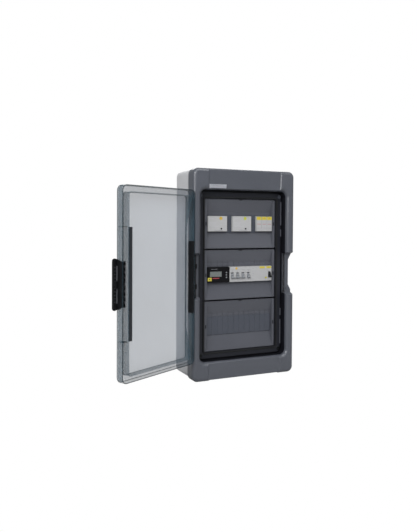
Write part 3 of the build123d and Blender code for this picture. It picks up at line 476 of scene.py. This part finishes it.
def rim_line(name, width, height, corner, v, radius, sides=8):
    """Dark line where the clear moulding turns: a round bead along a rounded rectangle."""
    path = [
        tray_point(DOOR_MID + x * 1000, v, z * 1000)
        for x, z in rounded(-width / 2, width / 2, -height / 2, height / 2, corner, 8)
    ]
    turns = [2 * math.pi * side / sides for side in range(sides)]

    def make(bm):
        loops = []
        count = len(path)
        for number, point in enumerate(path):
            run = (path[(number + 1) % count] - path[number - 1]).normalized()
            across = run.cross(OUTWARD).normalized()
            loops.append([
                bm.verts.new(
                    point + (across * math.cos(turn) + OUTWARD * math.sin(turn)) * (radius / 1000)
                )
                for turn in turns
            ])
        for number, loop in enumerate(loops):
            after = loops[(number + 1) % count]
            for side in range(sides):
                other = (side + 1) % sides
                bm.faces.new((loop[side], loop[other], after[other], after[side]))
        for face in bm.faces:
            face.smooth = True

    piece_from(make, name, "door", PANE_RIM)


rim_line("door_rim_inner", DOOR_WIDTH - 2.6, DOOR_HEIGHT - 2.6, corner=14.2, v=-8.9, radius=0.85)
rim_line("door_rim_outer", DOOR_WIDTH - 3.2, DOOR_HEIGHT - 3.2, corner=13.9, v=10.2, radius=0.8)
rim_line(
    "door_rib_root", DOOR_RIB_WIDTH + 0.2, DOOR_RIB_HEIGHT + 0.2, corner=6.9, v=8.2, radius=0.8
)


def door_block(name, u, v, z, finish, body="door", ease=0.0003):
    """Bar square to the door, its spans given as pairs and its edges eased."""
    sides = ((0, 1, 3, 2), (4, 6, 7, 5), (0, 4, 5, 1), (2, 3, 7, 6), (0, 2, 6, 4), (1, 5, 7, 3))

    def make(bm):
        corners = [
            bm.verts.new(tray_point(at_u, at_v, at_z)) for at_u in u for at_v in v for at_z in z
        ]
        for side in sides:
            bm.faces.new([corners[number] for number in side])
        bmesh.ops.bevel(bm, geom=bm.edges[:], offset=ease, segments=3, affect="EDGES")

    return piece_from(make, name, body, finish)


NOTCHES, NOTCH_PITCH, FIRST_NOTCH = 24, 11.5, -132
GRIP_RIBS, GRIP_PITCH = 11, 8.4

strip = door_block("sight_strip", (265.2, 276.5), (-11.8, -8.6), (-141, 141), STRIP_GREY)
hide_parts("door_latch_strip")
for number in range(NOTCHES):
    level = FIRST_NOTCH + NOTCH_PITCH * number
    door_block(
        f"sight_strip_notch_{number}", (274.2, 276.2), (-12.15, -11.7), about(level, 1.6),
        HANDLE_BLACK,
    )
for name, level in (("upper", 141.6), ("lower", -141.6)):
    door_block(
        f"door_cross_rib_{name}", (279.2, 294.6), (-8.6, 8.4), about(level, 0.6), PANE_RIM,
        ease=0.0001,
    )
# Painted highlight: pale bars on the handle stand for the light line along its edge.
for name, span in (("handle_painted_highlight", (-46, -9.5)), ("handle_painted_highlight_upper", (9.5, 46))):
    door_block(name, (301.2, 302.3), (3.9, 5.6), span, PAINTED_HIGHLIGHT, "handle")
# The grip ribs are real; their lighter grey is a painted highlight.
for number in range(GRIP_RIBS):
    level = (number - GRIP_RIBS // 2) * GRIP_PITCH
    door_block(
        f"handle_grip_rib_{number}", (306.4, 310.6), (3.5, 5.6), about(level, 1.3), GRIP_RIB_PAINTED_HIGHLIGHT,
        "handle", ease=0.0005,
    )
# Painted glints: pale bars in the latch channel stand for small highlights there.
for number, level in enumerate((-44, -30, -16, 0, 16, 30, 44)):
    door_block(f"latch_glint_{number}", (284.2, 285.4), (-6.0, -5.3), about(level, 3), PAINTED_HIGHLIGHT)

# ---- frame: painted shade on its recess walls and ledge, in two darker finishes ------
# In metres, as they are compared with the mesh.
RECESS_HALF_WIDTH, RECESS_HALF_HEIGHT = 0.1432, 0.2482
RECESS_MOUTH = -0.1255
LEDGE, LEDGE_SLACK = -0.108, 0.0012


# Faces inside the recess get the painted-shade finishes: 1 for the walls, 2 for the ledge.
def frame_painted_shade_pick(face):
    middle = face.center
    within = abs(middle.x) < RECESS_HALF_WIDTH and abs(middle.z - HINGE.z) < RECESS_HALF_HEIGHT
    if not within or middle.y <= RECESS_MOUTH:
        return 0
    # The ledge gets the lighter of the two painted-shade finishes.
    on_ledge = face.normal.y < -0.9 and abs(middle.y - LEDGE) < LEDGE_SLACK
    return 2 if on_ledge else 1


refinished(
    "frame_shell", "lid_frame", (FRAME_GREY, RECESS_PAINTED_SHADE, LEDGE_PAINTED_SHADE), frame_painted_shade_pick,
    "enclosure",
)

# ---- labels and printing on the devices, all without lettering ----------------------
FACE = -105.0
PRINT = (FACE + 0.05, FACE - 0.14)
OVERPRINT = (FACE - 0.13, FACE - 0.2)


def mark(name, x0, x1, z0, z1, finish, body="enclosure", radius=0.4):
    """Printed rule or patch on a device's front."""
    plate(name, rounded(x0, x1, z0, z1, radius), PRINT, finish, body)


def spot(name, x, z, radius, layer, finish, body="enclosure"):
    """Printed disc on a device's front, or on a patch already there."""
    plate(name, round_outline(x, z, radius), layer, finish, body)


on_surface("frame_label", -118, -63, 246.5, 259.5, "lid_frame", LABEL_WHITE)

RELAY_LINES = ((6, 20, 161), (6, 28, 149.5), (6, 24, 146), (6, 27, 142.5), (6, 38, 139))
RELAYS = (("left", -65.5, -108, INK_ORANGE), ("right", 15.0, -27, INK_LIME))
TAG_LEVEL = 162.4
for side, tag, left, colour in RELAYS:
    spot(f"relay_{side}_tag", tag, TAG_LEVEL, 4.9, PRINT, colour)
    spot(f"relay_{side}_tag_dot", tag, TAG_LEVEL, 1.7, OVERPRINT, INK_YELLOW)
    for number, (start, end, level) in enumerate(RELAY_LINES):
        mark(
            f"relay_{side}_line_{number}", left + start, left + end, level, level + 0.8, INK_PALE,
            radius=0.2,
        )
    mark(f"relay_{side}_foot_line", left + 22, left + 50, 125.6, 126.8, INK_GREY, radius=0.3)

MODULE = 18
for number in range(3):
    left = 54.3 + MODULE * number
    body = f"surge_plug_{number + 1}"
    mark(f"surge_band_{number + 1}", left + 0.5, left + 16.9, 158.4, 168.2, INK_YELLOW, body)
    spot(f"surge_spot_{number + 1}", left + 8.7, 163.2, 2.7, OVERPRINT, INK_ORANGE, body)
    for name, low, high, colour, radius in (
        ("rule", 145.4, 146.4, INK_RED, 0.3),
        ("foot", 139.5, 140.3, INK_PALE, 0.2),
    ):
        mark(
            f"surge_{name}_{number + 1}", left + 2.5, left + 14.9, low, high, colour, body,
            radius=radius,
        )

mark("meter_top_rule", -96, -76, 12.8, 13.7, INK_GREY, radius=0.3)
mark("meter_red_rule", -92, -70, -14.6, -12.4, INK_RED)
mark("meter_note", -107.2, -94.6, -21.2, -11.2, INK_YELLOW)
spot("meter_note_spot", -101.4, -16.2, 1.9, OVERPRINT, INK_DARK)

spot("breaker_tag", -13.2, 13.8, 3.6, PRINT, INK_ORANGE)
for number, x in enumerate((-27, -9, 9, 27)):
    mark(f"breaker_rule_{number}", x - 5, x + 5, 9.3, 10.1, INK_GREY, radius=0.2)
    mark(f"breaker_tick_{number}", x - 0.5, x + 0.5, 3.4, 7.6, INK_GREY, radius=0.2)
for number, level in enumerate((12.4, 4.0, -3.0, -10.0)):
    mark(f"rcd_symbol_{number}", 41.5, 45.5, level, level + 1.0, INK_GREY, radius=0.2)
mark("rcd_symbol_stem", 43.1, 43.9, -15, 11, INK_PALE, radius=0.2)
mark("rcd_note_left", 66, 84, 11.6, 18.0, INK_YELLOW)
mark("rcd_note_right", 89.5, 106.5, 11.6, 18.2, INK_YELLOW)
spot("rcd_note_spot", 75, 14.8, 1.8, OVERPRINT, INK_ORANGE)
spot("rcd_note_spot_right", 98, 14.9, 1.8, OVERPRINT, INK_ORANGE)

# ---- stiffening ribs on the recess floor beside the seal ----------------------------
FLOOR_RIB_WIDTH = 3.2
FLOOR_RIB_LAYER = (-107.6, -109.6)
FLOOR_RIB_SPANS = {
    "upper": (142, 214),
    "upper_short": (108, 130),
    "lower": (-221, -146),
    "lower_short": (-134, -112),
}
for name, (z0, z1) in FLOOR_RIB_SPANS.items():
    for side, x in (("right", 135.6), ("left", -138.8)):
        plate(
            f"floor_rib_{name}_{side}", rounded(x, x + FLOOR_RIB_WIDTH, z0, z1, 1.4),
            FLOOR_RIB_LAYER, COVER_GREY, soften=0.0004,
        )

# ---- floor, light and camera --------------------------------------------------------
FLOOR_HALF_SIZE = 40
FLOOR_DROP = 0.0005


def camera_sees(tree, shader_seen, shader_lighting):
    """Mix that shows one shader to the camera and lights the rest of the scene by another."""
    rays = tree.nodes.new("ShaderNodeLightPath")
    choose = tree.nodes.new("ShaderNodeMixShader")
    tree.links.new(rays.outputs["Is Camera Ray"], choose.inputs["Fac"])
    tree.links.new(shader_lighting.outputs[0], choose.inputs[1])
    tree.links.new(shader_seen.outputs[0], choose.inputs[2])
    return choose.outputs[0]


def pale_floor():
    """Ground that bounces light as pale grey and shows white to the camera, with no shadow."""
    pale = Finish("pale_floor")
    pale.link(
        pale.ramp(pale.noise(0.7), [(0.3, (0.5, 0.5, 0.5, 1)), (0.7, (0.53, 0.53, 0.53, 1))]),
        pale.shader.inputs["Base Color"],
    )
    pale.put(Roughness=0.9)
    shown = camera_sees(pale.tree, pale.add("ShaderNodeEmission"), pale.shader)
    pale.link(shown, pale.tree.nodes["Material Output"].inputs["Surface"])

    bm = bmesh.new()
    bmesh.ops.create_grid(bm, x_segments=24, y_segments=24, size=FLOOR_HALF_SIZE)
    bmesh.ops.translate(bm, vec=(0, 0, CAD_BOX[0][2] - FLOOR_DROP), verts=bm.verts)
    mesh = bpy.data.meshes.new("floor")
    bm.to_mesh(mesh)
    bm.free()
    mesh.materials.append(pale.material)
    floor = bpy.data.objects.new("floor", mesh)
    bpy.context.scene.collection.objects.link(floor)


def studio_world():
    """White behind the object, and a faint cool light all round it."""
    world = bpy.data.worlds.new("studio")
    world.use_nodes = True
    bpy.context.scene.world = world
    tree = world.node_tree
    backdrop = tree.nodes["Background"]
    ambient = tree.nodes.new("ShaderNodeBackground")
    for shader, colour, strength in (
        (backdrop, (1, 1, 1, 1), 1.0),
        (ambient, (0.95, 0.98, 1.0, 1), 0.27),
    ):
        shader.inputs["Color"].default_value = colour
        shader.inputs["Strength"].default_value = strength
    shown = camera_sees(tree, backdrop, ambient)
    tree.links.new(shown, tree.nodes["World Output"].inputs["Surface"])


def soft_light(name, place, aim, width, height, watts):
    data = bpy.data.lights.new(name, "AREA")
    data.shape = "RECTANGLE"
    data.size = width
    data.size_y = height
    data.energy = watts
    lamp = bpy.data.objects.new(name, data)
    lamp.location = place
    lamp.rotation_euler = (Vector(aim) - Vector(place)).to_track_quat("-Z", "Y").to_euler()
    bpy.context.scene.collection.objects.link(lamp)


pale_floor()
studio_world()
soft_light("key", (-1.1, -2.4, 1.6), (0, -0.1, 0), 1.1, 1.1, watts=14)
soft_light("side", (-1.8, -1.3, 0.85), (-0.15, -0.12, 0.24), 0.9, 0.7, watts=26)
soft_light("sheen", (0.7, -1.3, 1.25), (-0.13, -0.13, 0.26), 0.5, 0.3, watts=3.5)
soft_light("fill", (2.2, -1.8, 0.9), (0.1, -0.1, 0), 1.6, 1.6, watts=3)
soft_light("top", (0.1, -1.1, 2.5), (0, 0, 0), 1.8, 1.4, watts=28)
soft_light("back", (0.9, 2.2, 1.3), (0, 0, 0), 1.6, 1.2, watts=20)

YAW, PITCH, ROLL = (math.radians(value) for value in (24.22, 1.32, 0.28))
# From the object's middle to the eye, measured across, down and along the view.
EYE_OFFSET = Vector((-0.0793, -0.1072, -1.8166))
AIM = Vector((0, 0, HINGE.z))


def place_camera():
    """Camera turned by yaw about the upright, then nodded by pitch and tilted by roll."""
    cos_yaw, sin_yaw = math.cos(YAW), math.sin(YAW)
    cos_pitch, sin_pitch = math.cos(PITCH), math.sin(PITCH)
    cos_roll, sin_roll = math.cos(ROLL), math.sin(ROLL)
    turn = Matrix(((cos_yaw, -sin_yaw, 0), (0, 0, -1), (sin_yaw, cos_yaw, 0)))
    nod = Matrix(((1, 0, 0), (0, cos_pitch, -sin_pitch), (0, sin_pitch, cos_pitch)))
    tilt = Matrix(((cos_roll, -sin_roll, 0), (sin_roll, cos_roll, 0), (0, 0, 1)))
    view = tilt @ nod @ turn
    axes = Matrix((view[0], -view[1], -view[2])).transposed()
    eye = view.transposed() @ EYE_OFFSET + AIM
    data = bpy.data.cameras.new("camera")
    data.lens = 39.04
    data.sensor_width = 36.0
    data.shift_x = 0.0173
    data.shift_y = -0.0538
    camera = bpy.data.objects.new("camera", data)
    camera.matrix_world = Matrix.Translation(eye) @ axes.to_4x4()
    bpy.context.scene.collection.objects.link(camera)
    bpy.context.scene.camera = camera


place_camera()
bpy.context.scene.view_settings.view_transform = "Standard"
